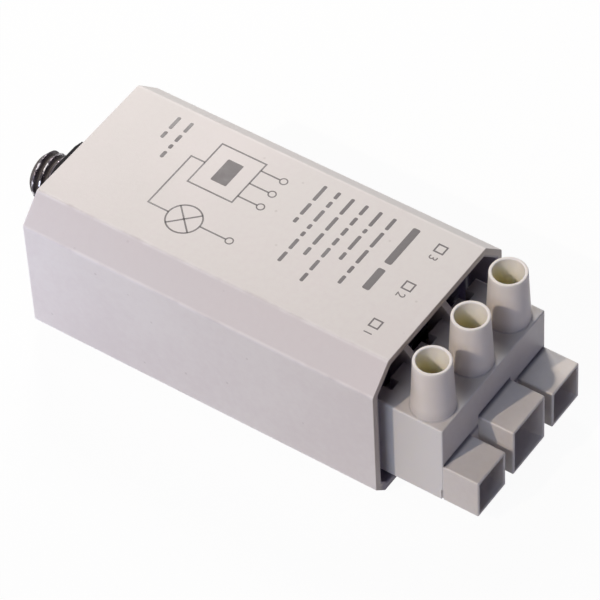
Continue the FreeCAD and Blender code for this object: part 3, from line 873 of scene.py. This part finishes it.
def buildBlock():
    b = block
    rear, front, half, low, top, deep = (b[k] for k in ("rear", "front", "half", "low", "top", "cavityHalf"))
    solids = [
        bar(rectangle(rear, front, -half, half), b["corner"], "z", low, top, 0.12, b["edge"]),
        bar(rectangle(-b["footHalf"], b["footHalf"], low + 0.02, b["footTop"]), 0.2, "x", b["footRear"],
            rear + past, 0.05, 0.05),
    ]
    solids += [ribShell(y) for y in b["ribs"]]
    tools = []
    for y in poleYs:
        solids += [turned(towerProfile(), y), funnelShell(y)]
        cavity = rectangle(b["cavityRear"], b["cavityFront"], y - deep, y + deep)
        notch = rectangle(rear - past, rear + b["notchDeep"], y - b["notchHalf"], y + b["notchHalf"])
        tools += [
            turned(boreProfile(), y), funnelPassage(y),
            bar(cavity, 0.15, "z", b["cavityLow"], b["cavityTop"], 0.1, 0.1),
            bar(notch, 0.15, "z", b["footTop"], top + past, 0.05, 0.05), seamTool(y),
        ]
    for side in (-1, 1):
        y0, y1 = sorted((side * (half - b["grooveDeep"]), side * (half + past)))
        groove = rectangle(front - b["grooveWide"], front + 0.04, y0, y1)
        tools.append(bar(groove, 0.05, "z", low - past, low + b["grooveTall"], 0.05, 0.15))
    mesh = cutAway("block", joinData(solids), joinData(tools))
    makePiece("blockMoulding", mesh, "root", "block_plastic", "terminal_block")


buildBlock()
print("terminal block ready")


# threads and small metal pieces
def threadData(thread, start, end, envelope, axis, centre, sides, perTurn):
    # point (s, t): along the axis s + pitch * t / 2 pi, kept between start and end; radius
    # crest - depth * hollow(s / pitch), no larger than the envelope's radius there
    pitch = thread["pitch"]
    turns = int(math.ceil((end - start) / pitch)) + 2
    s = start - pitch + pitch * np.arange(turns * perTurn + 1) / perTurn
    t = np.linspace(0, 2 * math.pi, sides + 1)
    along = np.clip(s[:, None] + pitch * t[None, :] / (2 * math.pi), start, end)
    saw = np.abs(2 * ((s - start) / pitch % 1.0) - 1)
    hollow = np.clip(0.5 + 1.35 * (saw - 0.5), 0, 1)
    hollow = hollow * hollow * (3 - 2 * hollow)
    radius = (thread["crest"] - thread["depth"] * hollow)[:, None]
    radius = np.minimum(radius, np.interp(along, *zip(*envelope)))
    flat = np.stack([np.cos(t), np.sin(t)], -1)[None, :, :] * radius[:, :, None] + np.array(centre)
    return shellData(onPlane(flat, axis, along), closeColumns=False)


stud = {
    "freeEnd": -10.0, "crest": 4.0, "depth": 0.62, "pitch": 1.25, "endRadius": 3.05, "chamferEnd": -9.1,
    "threadEnd": -4.6, "shank": 3.6, "headFrom": 2.4, "headTo": 7.7, "across": 13.0, "bevel": 6.2,
    "slope": 0.55,
}
nut = {"from": -4.8, "to": -0.8, "across": 13.0, "hole": 3.65, "sink": 4.25, "bevel": 6.95, "slope": 0.5}
washer = {
    "thick": 0.45, "middle": -0.4, "twist": 0.16, "outer": 7.2, "root": 5.7, "hole": 4.22, "teeth": 12,
    "perTooth": 20, "toothHalf": 0.29, "toothEdge": 0.04,
}
hexSides = 120


def hexPrism(start, end, across, faceRadius, slope):
    # a hexagon with a corner downwards; its radius is no more than a cone's that starts at
    # faceRadius on each end face
    t = np.arange(hexSides) * 2 * math.pi / hexSides
    corner = across / 2 / np.cos((t - math.pi / 3) % (math.pi / 3) - math.pi / 6)
    steps = np.concatenate([[0, 0.15, 0.3, 0.5], np.linspace(0.8, end - start - 0.8, 5)])
    places = np.concatenate([start + steps, [end - 0.5, end - 0.3, end - 0.15, end]])
    near = np.minimum(places - start, end - places)
    radius = np.minimum(corner[None, :], faceRadius + near[:, None] / slope)
    return [onPlane(circle(hexSides) * r[:, None], "x", x) for r, x in zip(radius, places)]


def buildStud():
    start, end, crest, shank = stud["freeEnd"], stud["headFrom"] + 0.5, stud["crest"], stud["shank"]
    # inside the head the thread's end is narrower than its root, so that it closes
    envelope = [(start, stud["endRadius"]), (stud["chamferEnd"], crest), (stud["threadEnd"] - 0.3, crest),
                (stud["threadEnd"], shank), (end - 0.3, shank), (end, stud["endRadius"])]
    thread = threadData(stud, start, end, envelope, "x", (0, 0), 72, 14)
    head = shellData(hexPrism(stud["headFrom"], stud["headTo"], stud["across"], stud["bevel"], stud["slope"]))
    makePiece("studThreaded", joinData([thread, head]), "root", "stud_steel", "mounting_stud")


def buildNut():
    # the hole opens by a cone of 45 degrees at each face
    start, end, hole, sink = nut["from"], nut["to"], nut["hole"], nut["sink"]
    rings = hexPrism(start, end, nut["across"], nut["bevel"], nut["slope"])
    for r, x in ((sink, end), (hole, end - (sink - hole)), (hole, start + (sink - hole)), (sink, start)):
        rings.append(onPlane(circle(hexSides) * r, "x", x))
    makePiece("nutChamfered", shellData(rings, True), "root", "fastener_steel", "stud_nut")


def buildWasher():
    # around the ring (t) runs a rounded section (q); the outer radius steps between root and tip
    # at each tooth, and each tooth is twisted about its own radius
    w = washer
    count = w["teeth"] * w["perTooth"]
    place = np.arange(count) / w["perTooth"] % 1.0 - 0.5
    tooth = np.clip((w["toothHalf"] - np.abs(place)) / w["toothEdge"], 0, 1)
    outer = w["root"] + (w["outer"] - w["root"]) * tooth
    face = [(0, 1), (0.15, 1), (0.45, 1), (0.8, 1), (0.985, 0.9), (1, 0.5)]
    q = np.array([(a, -b) for a, b in face] + face[::-1] + [(-0.015, 0.5), (-0.015, -0.5)])
    radius = w["hole"] + (outer[:, None] - w["hole"]) * q[None, :, 0]
    reach = np.clip((radius - w["root"]) / (w["outer"] - w["root"]), 0, 1)
    along = w["middle"] + q[None, :, 1] * w["thick"] / 2 + w["twist"] * reach * (place / 0.3)[:, None]
    rings = onPlane(circle(count)[:, None, :] * radius[:, :, None], "x", along)
    makePiece("washerToothed", shellData(rings, True), "root", "fastener_steel", "lock_washer")


buildStud()
buildNut()
buildWasher()
print("stud, nut and washer ready")


# clamps
screw = {
    "tip": -4.1, "seat": 2.23, "crest": 1.72, "depth": 0.34, "pitch": 0.6, "core": 1.15, "point": 0.45,
    "head": 2.5, "headTop": 4.7, "rim": 0.4, "crown": 0.03, "slotWide": 0.8, "slotDeep": 1.1,
}
cage = {
    "from": 65.6, "to": 70.6, "half": 2.85, "low": -9.5, "high": -2.8, "side": 0.8, "floor": 0.9, "top": 1.1,
    "bend": 0.9, "innerBend": 0.25, "edge": 0.14, "serration": 0.16, "ridge": 0.8, "hole": 1.77, "sink": 0.25,
}


def screwMesh():
    tip, seat, crest, core = (screw[k] for k in ("tip", "seat", "crest", "core"))
    top, radius = screw["headTop"], screw["head"]
    envelope = [(tip, core), (tip + screw["point"], crest), (seat + 0.1, crest), (seat + 0.3, core)]
    thread = threadData(screw, tip, seat + 0.3, envelope, "z", (screwX, 0), 36, 10)
    profile = [(radius - 0.15, seat), (radius, seat + 0.15)] + quarter(radius, screw["rim"], top, 7)
    profile += [(r, top + screw["crown"] * (1 - r / radius)) for r in (1.6, 1.1, 0.5, 0.1)]
    half = screw["slotWide"] / 2
    slotTool = bar(rectangle(-half, half, top - screw["slotDeep"], top + 1), [0.12, 0.12, 0.02, 0.02], "x",
                   screwX - 4, screwX + 4, 0.02, 0.02)
    return cutAway("screw", joinData([thread, turned(profile, 0)]), slotTool)


def cageMesh():
    # a strip bent to a box: its outline is carried along x over the outside, round the end
    # edges and back along the inside, whose floor has a low ridge at even distances
    c = cage
    start, end, half, low, high, edge = (c[k] for k in ("from", "to", "half", "low", "high", "edge"))
    outer = rectangle(-half, half, low, high)
    inner = rectangle(-half + c["side"], half - c["side"], low + c["floor"], high - c["top"])
    ends = roundedEnds(start, end, edge, edge, 3)
    rings = [onPlane(outline(outer, c["bend"], inset, 6), "x", x) for x, inset in ends]
    back = [(x, 0.0) for x in np.linspace(end - edge, start + edge, 49)]
    for x, grow in [(end, edge)] + back + [(start, edge)]:
        ring = outline(inner, c["innerBend"], -grow, 6)
        ridge = 0.0 if grow else c["serration"] * abs(2 * ((x - start) / c["ridge"] % 1.0) - 1)
        ring[:, 1] += (ring[:, 1] < (low + high) / 2) * ridge
        rings.append(onPlane(ring, "x", x))
    hole, wide = c["hole"], c["hole"] + c["sink"]
    drill = turned([(hole, high - 2), (hole, high - 0.2), (wide, high + 0.05), (wide, high + 1)], 0, 48)
    return cutAway("cage", shellData(rings, True), drill)


def buildClamps():
    shapes = {"screwSlotted": (screwMesh(), "screw", "terminal_screw"),
              "cageBent": (cageMesh(), "cage", "clamp_cage")}
    for label, (shape, body, node) in shapes.items():
        for n, y in zip(poles, poleYs):
            mesh = shape.copy()
            mesh.transform(Matrix.Translation((0, y * mm, 0)))
            makePiece(f"{label}_{n}", mesh, f"{body}_{n}", "clamp_steel", f"{node}_{n}")
        bpy.data.meshes.remove(shape)


buildClamps()
print("clamps ready")


# resin surface in the mouth
resin = {
    "level": 57.0, "rise": 0.55, "reach": 0.45, "skin": 0.04, "ripple": 0.05, "columns": 260, "gap": 0.03,
    "thick": 0.6, "corner": 0.6,
}


def evenly(flat, count):
    # the same closed outline with its points at even distances
    closed = np.vstack([flat, flat[:1]])
    run = np.concatenate([[0], np.cumsum(np.linalg.norm(np.diff(closed, axis=0), axis=1))])
    at = np.linspace(0, run[-1], count, endpoint=False)
    return np.stack([np.interp(at, run, along) for along in closed.T], -1)


def gapTo(flat, y0, y1, z0, z1):
    # distance from points to a rectangle, 0 inside it
    y, z = flat.T
    return np.hypot(np.maximum(np.maximum(y0 - y, y - y1), 0), np.maximum(np.maximum(z0 - z, z - z1), 0))


def buildResin():
    # rings step in from the casing's inner wall; x = level + skin + ripple + rise * exp(-gap / reach),
    # where gap is the distance to the nearest wall, foot or partition
    inset, corner, bottom = casing["wall"] - resin["gap"], resin["corner"], resin["level"] - resin["thick"]
    depths = np.concatenate([[0.0, 0.08, 0.17, 0.28, 0.42, 0.6, 0.85, 1.2], np.linspace(1.7, 11.3, 34)])
    edge = evenly(casingSection(inset, corner), resin["columns"])
    rings = [onPlane(edge * 0.05, "x", bottom), onPlane(edge, "x", bottom)]
    half, ribHalf, footTop = block["footHalf"], block["ribThick"] / 2, block["footTop"]
    walls = [(-half, half, block["low"], footTop)]
    walls += [(y - ribHalf, y + ribHalf, footTop, block["ribTop"]) for y in block["ribs"]]
    for depth in depths:
        flat = evenly(casingSection(inset + depth, max(corner - depth, 0.05)), resin["columns"])
        gap = np.minimum(depth, np.min([gapTo(flat, *wall) for wall in walls], 0))
        y, z = flat.T
        wave = np.sin(y * 0.9 + 0.7) * np.cos(z * 0.8 + 0.3) + 0.5 * np.sin(y * 2.3 + z * 1.7)
        height = resin["level"] + resin["skin"] + resin["ripple"] * (1 + 0.5 * wave)
        rings.append(onPlane(flat, "x", height + resin["rise"] * np.exp(-gap / resin["reach"])))
    makePiece("resinSurface", shellData(rings), "root", "compound")


buildResin()
print("resin ready")


# printed marks
printed = {
    "thick": 0.012, "sink": 0.004, "line": 0.26, "word": 0.6, "bold": 1.25, "seed": 7,
    "start": 10.6, "boxX": 56.3, "boxYs": (-7.9, 0.6, 9.1), "boxSize": 1.5, "numberSize": 2.025,
    "boldX": 51.4, "boldRows": ((2.6, 10.6), (-3.2, 1.4)),
    # x of the first row, from row to row, and how far each row reaches
    "words": (47.9, 2.45, (15.0, 11.0, 17.5, 13.0, 16.0, 8.5)), "notes": (11.5, 2.3, (9.5, 6.5)),
    "wordLong": (0.9, 3.6), "wordGap": 0.7,
}
printLow, printHigh = casing["top"] - printed["sink"], casing["top"] + printed["thick"]


def strokeData(points, width, closed=False):
    # a path widened to a flat line of even width with mitred corners, given a small thickness
    p = np.array(points, float)
    if closed:
        before, after = np.roll(p, 1, 0), np.roll(p, -1, 0)
    else:
        before = np.vstack([2 * p[0] - p[1], p[:-1]])
        after = np.vstack([p[1:], 2 * p[-1] - p[-2]])
    mitre = mitres(p - before, after - p)[-1] * width / 2
    sides = ((p - mitre, printLow), (p + mitre, printLow), (p + mitre, printHigh), (p - mitre, printHigh))
    return shellData(np.stack([onPlane(flat, "z", z) for flat, z in sides], 1), closed)


def plateData(x0, x1, y0, y1, radius):
    flat = outline(rectangle(x0, x1, y0, y1), radius, 0, 3)
    return shellData([onPlane(flat, "z", printLow), onPlane(flat, "z", printHigh)])


def wordRows(rng, x, step, reaches):
    # rows of print: bars as long as words, from start towards each row's reach
    bars, (shortest, longest) = [], printed["wordLong"]
    for k, reach in enumerate(reaches):
        y, yEnd = printed["start"], printed["start"] - reach
        while y - shortest > yEnd:
            long = min(rng.uniform(shortest, longest), y - yEnd)
            bars.append(plateData(x - step * k, x - step * k + printed["word"], y - long, y, 0.22))
            y -= long + printed["wordGap"]
    return bars


def numberData(text, x, y):
    # a plain number, upright along +x, made flat with the print's thickness
    curve = bpy.data.curves.new("number", "FONT")
    curve.body, curve.size, curve.extrude = text, printed["numberSize"], (printHigh - printLow) / 2
    text3d = addObject("number", curve)
    mesh = evaluated(text3d)
    points = np.zeros(len(mesh.vertices) * 3)
    mesh.vertices.foreach_get("co", points)
    u, v, w = points.reshape(-1, 3).T
    faces = [list(f.vertices) for f in mesh.polygons]
    bpy.data.objects.remove(text3d)
    bpy.data.curves.remove(curve)
    bpy.data.meshes.remove(mesh)
    return np.stack([x + v, y - u, (printLow + printHigh) / 2 + w], -1), faces


def diagramLines(line):
    # a made-up line drawing: a box with three leads, a disc with a cross and a bar
    leadYs, disc = (2.0, 5.0, 8.0), (22, -6.0)
    leads = [[(26, y), (29.5, y)] for y in leadYs]
    leads += [[(18, 5.0), (15.5, 5.0), (15.5, -6.0), (19.2, -6.0)], [(24.8, -6.0), (29.5, -6.0)],
              [(20.0, -8.0), (24.0, -4.0)], [(20.0, -4.0), (24.0, -8.0)]]
    data = [strokeData(loop, line, True) for loop in (rectangle(18, 26, 0.5, 9.5), circle(40) * 2.8 + disc)]
    data += [strokeData(path, line) for path in leads]
    data += [strokeData(circle(24) * 0.6 + (30.1, y), line * 0.8, True) for y in (*leadYs, -6.0)]
    data.append(plateData(20.6, 23.4, 2.6, 7.4, 0.2))
    return data


def buildPrint():
    rng = np.random.default_rng(printed["seed"])
    line, size, x, data = printed["line"], printed["boxSize"], printed["boxX"], []
    for n, y in enumerate(printed["boxYs"], 1):
        data.append(strokeData(rectangle(x, x + size, y - size / 2, y + size / 2), line, True))
        data.append(numberData(str(n), x, y - size))
    for y0, y1 in printed["boldRows"]:
        data.append(plateData(printed["boldX"], printed["boldX"] + printed["bold"], y0, y1, 0.3))
    data += wordRows(rng, *printed["words"]) + diagramLines(line) + wordRows(rng, *printed["notes"])
    makePiece("printedMarks", joinData(data), "root", "casing_plastic", look="printInk")


buildPrint()
print("printed marks ready")


# CAD nodes that stay, such as the parts in the resin and the contact bars
for part in frame["record"]["subparts"]:
    slots = frame["nodes"][part["node"]].data.materials
    slots.clear()
    slots.append(looks[part["material_slot"]])
print("CAD nodes dressed")
